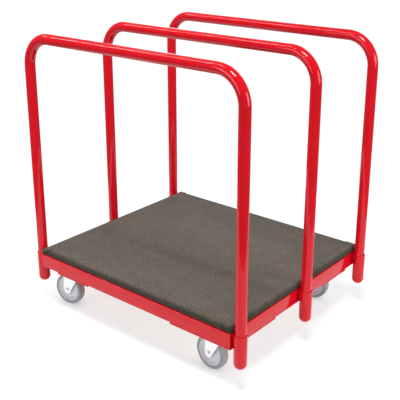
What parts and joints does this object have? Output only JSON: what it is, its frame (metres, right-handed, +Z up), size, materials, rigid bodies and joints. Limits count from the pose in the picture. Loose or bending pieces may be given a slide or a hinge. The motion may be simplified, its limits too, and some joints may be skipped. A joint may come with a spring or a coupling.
{
  "type": "panel dolly",
  "caption": "Carpeted flat-deck dolly on swivel casters with removable tube hoops in side sockets, for moving panels, boards and doors upright.",
  "frame": {"origin": "on the floor, under the middle of the deck", "axes": "+X along the hoops' top bars, -Y towards the front rail, +Z up"},
  "size_m": [1.004, 0.8128, 1.0668],
  "materials": {
    "red_paint": "gloss",
    "plywood": "raw",
    "carpet": "low pile",
    "zinc": "bright zinc plate",
    "wheel_hub": "satin",
    "tyre": "matte"
  },
  "bodies": {
    "chassis": {"front_rail": "red_paint", "right_rail": "red_paint", "back_rail": "red_paint", "left_rail": "red_paint", "centre_brace": "red_paint", "deck_board": "plywood", "deck_carpet": "carpet", "front_right_corner_plate": "red_paint", "front_left_corner_plate": "red_paint", "rear_right_corner_plate": "red_paint", "rear_left_corner_plate": "red_paint", "front_left_socket": "red_paint", "front_left_socket_cap": "red_paint", "front_right_socket": "red_paint", "front_right_socket_cap": "red_paint", "middle_left_socket": "red_paint", "middle_left_socket_cap": "red_paint", "middle_right_socket": "red_paint", "middle_right_socket_cap": "red_paint", "back_left_socket": "red_paint", "back_left_socket_cap": "red_paint", "back_right_socket": "red_paint", "back_right_socket_cap": "red_paint", "front_right_top_plate": "zinc", "front_right_kingpin": "zinc", "front_left_top_plate": "zinc", "front_left_kingpin": "zinc", "rear_right_top_plate": "zinc", "rear_right_kingpin": "zinc", "rear_left_top_plate": "zinc", "rear_left_kingpin": "zinc"},
    "front_hoop_body": {"front_hoop": "red_paint"},
    "middle_hoop_body": {"middle_hoop": "red_paint"},
    "back_hoop_body": {"back_hoop": "red_paint"},
    "front_right_swivel_body": {"front_right_fork": "zinc", "front_right_axle_bolt": "zinc", "front_right_axle_nut": "zinc", "front_right_axle_bushing": "zinc"},
    "front_right_wheel_body": {"front_right_hub": "wheel_hub", "front_right_tyre": "tyre"},
    "front_left_swivel_body": {"front_left_fork": "zinc", "front_left_axle_bolt": "zinc", "front_left_axle_nut": "zinc", "front_left_axle_bushing": "zinc"},
    "front_left_wheel_body": {"front_left_hub": "wheel_hub", "front_left_tyre": "tyre"},
    "rear_right_swivel_body": {"rear_right_fork": "zinc", "rear_right_axle_bolt": "zinc", "rear_right_axle_nut": "zinc", "rear_right_axle_bushing": "zinc"},
    "rear_right_wheel_body": {"rear_right_hub": "wheel_hub", "rear_right_tyre": "tyre"},
    "rear_left_swivel_body": {"rear_left_fork": "zinc", "rear_left_axle_bolt": "zinc", "rear_left_axle_nut": "zinc", "rear_left_axle_bushing": "zinc"},
    "rear_left_wheel_body": {"rear_left_hub": "wheel_hub", "rear_left_tyre": "tyre"}
  },
  "joints": [
    {"name": "front_hoop_lift", "type": "slide", "parent": "chassis", "child": "front_hoop_body", "axis": [0, 0, 1], "range_m": [0, 0.09]},
    {"name": "middle_hoop_lift", "type": "slide", "parent": "chassis", "child": "middle_hoop_body", "axis": [0, 0, 1], "range_m": [0, 0.09]},
    {"name": "back_hoop_lift", "type": "slide", "parent": "chassis", "child": "back_hoop_body", "axis": [0, 0, 1], "range_m": [0, 0.09]},
    {"name": "front_right_swivel", "type": "hinge", "parent": "chassis", "child": "front_right_swivel_body", "pos_m": [0.355, -0.324, 0.15], "axis": [0, 0, 1], "continuous": true},
    {"name": "front_right_wheel_spin", "type": "hinge", "parent": "front_right_swivel_body", "child": "front_right_wheel_body", "pos_m": [0.31911, -0.32118, 0.0625], "axis": [0.0785, 0.9969, 0], "continuous": true},
    {"name": "front_left_swivel", "type": "hinge", "parent": "chassis", "child": "front_left_swivel_body", "pos_m": [-0.355, -0.324, 0.15], "axis": [0, 0, 1], "continuous": true},
    {"name": "front_left_wheel_spin", "type": "hinge", "parent": "front_left_swivel_body", "child": "front_left_wheel_body", "pos_m": [-0.39056, -0.32963, 0.0625], "axis": [-0.1564, 0.9877, 0], "continuous": true},
    {"name": "rear_right_swivel", "type": "hinge", "parent": "chassis", "child": "rear_right_swivel_body", "pos_m": [0.355, 0.324, 0.15], "axis": [0, 0, 1], "continuous": true},
    {"name": "rear_right_wheel_spin", "type": "hinge", "parent": "rear_right_swivel_body", "child": "rear_right_wheel_body", "pos_m": [0.31927, 0.31961, 0.0625], "axis": [-0.1219, 0.9925, 0], "continuous": true},
    {"name": "rear_left_swivel", "type": "hinge", "parent": "chassis", "child": "rear_left_swivel_body", "pos_m": [-0.355, 0.324, 0.15], "axis": [0, 0, 1], "continuous": true},
    {"name": "rear_left_wheel_spin", "type": "hinge", "parent": "rear_left_swivel_body", "child": "rear_left_wheel_body", "pos_m": [-0.39095, 0.32212, 0.0625], "axis": [-0.0523, 0.9986, 0], "continuous": true}
  ]
}
